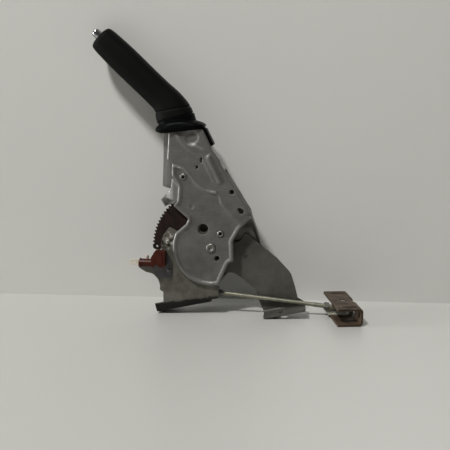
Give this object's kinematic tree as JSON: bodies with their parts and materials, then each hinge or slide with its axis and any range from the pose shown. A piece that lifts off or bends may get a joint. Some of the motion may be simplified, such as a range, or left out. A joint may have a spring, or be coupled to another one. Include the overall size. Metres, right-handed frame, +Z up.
{
  "type": "parking brake lever",
  "caption": "Hand parking brake lever with black grip and release button, pressed shells on a floor bracket, ratchet sector, warning switch, pull rod and cable equalizer.",
  "frame": {"origin": "centre of the bounding box's footprint on the floor, lever raised as in the picture", "axes": "+Z up, +X toward the pull rod and the vehicle's rear, +Y across the lever, away from the switch side"},
  "size_m": [0.336, 0.0918, 0.3581],
  "materials": {
    "shell_steel": "dull zinc coating with scuffs",
    "bracket_steel": "dull, greasy zinc coating",
    "arm_steel": "dark worn zinc coating",
    "rusty_steel": "brown surface rust",
    "equalizer_steel": "brown rust over worn coating",
    "dark_steel": "dark plated",
    "zinc_steel": "greenish zinc plating",
    "bright_steel": "worn bright zinc",
    "grip_black": "soft matte black with fine grain",
    "collar_black": "semi-gloss black",
    "guide_black": "moulded black",
    "button_chrome": "bright plated",
    "switch_brown": "reddish brown moulded",
    "terminal_tin": "tinned, cream tone",
    "plunger_white": "off-white moulded"
  },
  "bodies": {
    "base": {"front_bracket": "bracket_steel", "rear_bracket": "arm_steel", "ratchet_sector": "rusty_steel", "sector_rivet_a": "bracket_steel", "sector_rivet_b": "bracket_steel", "sector_rivet_c": "bracket_steel", "switch_plate": "dark_steel", "switch_body": "switch_brown", "switch_terminal": "terminal_tin", "switch_screw_a": "bright_steel", "switch_screw_b": "bright_steel"},
    "lever": {"near_shell": "shell_steel", "far_shell": "shell_steel", "shell_eyelet": "bright_steel", "grip": "grip_black", "grip_collar": "collar_black", "button_guide": "guide_black", "spring_seat": "bright_steel", "pivot_shaft": "bright_steel", "near_bush": "bright_steel", "far_bush": "bright_steel", "pull_arm": "arm_steel", "pawl_pin": "bright_steel"},
    "button": {"release_button": "button_chrome", "push_rod": "zinc_steel", "return_spring": "bright_steel"},
    "pawl": {"pawl": "dark_steel"},
    "rod": {"pull_rod": "zinc_steel", "rod_clevis": "zinc_steel", "clevis_pin": "bright_steel", "clevis_clip": "dark_steel", "jam_nut": "zinc_steel", "adjuster_nut": "zinc_steel", "rod_saddle": "zinc_steel"},
    "equalizer": {"equalizer": "equalizer_steel"},
    "plunger": {"switch_plunger": "plunger_white"}
  },
  "joints": [
    {"name": "lever_pivot", "type": "hinge", "parent": "base", "child": "lever", "pos_m": [-0.0206, 0, 0.088], "axis": [0, 1, 0], "range_deg": [-49, 3.5]},
    {"name": "button_slide", "type": "slide", "parent": "lever", "child": "button", "axis": [0.723, 0, -0.6909], "range_m": [-0.0022, 0.0045], "stiffness_N_per_m": 800, "deforming": ["return_spring"]},
    {"name": "pawl_pivot", "type": "hinge", "parent": "lever", "child": "pawl", "pos_m": [-0.0548, 0, 0.1774], "axis": [0, 1, 0], "range_deg": [-4.4, 8.8]},
    {"name": "rod_pivot", "type": "hinge", "parent": "lever", "child": "rod", "pos_m": [-0.0286, 0, 0.03], "axis": [0, 1, 0], "range_deg": [-3.6, 49.2]},
    {"name": "equalizer_swivel", "type": "hinge", "parent": "rod", "child": "equalizer", "pos_m": [0.1456, 0, 0.011], "axis": [0, 0, 1], "range_deg": [-15, 6]},
    {"name": "plunger_slide", "type": "slide", "parent": "base", "child": "plunger", "axis": [0, 0, -1], "range_m": [0, 0.003], "stiffness_N_per_m": 500}
  ],
  "couplings": [
    {"joint": "pawl_pivot", "follows": "button_slide", "rad_per_m": 33.333},
    {"joint": "rod_pivot", "follows": "lever_pivot", "ratio": -1}
  ]
}
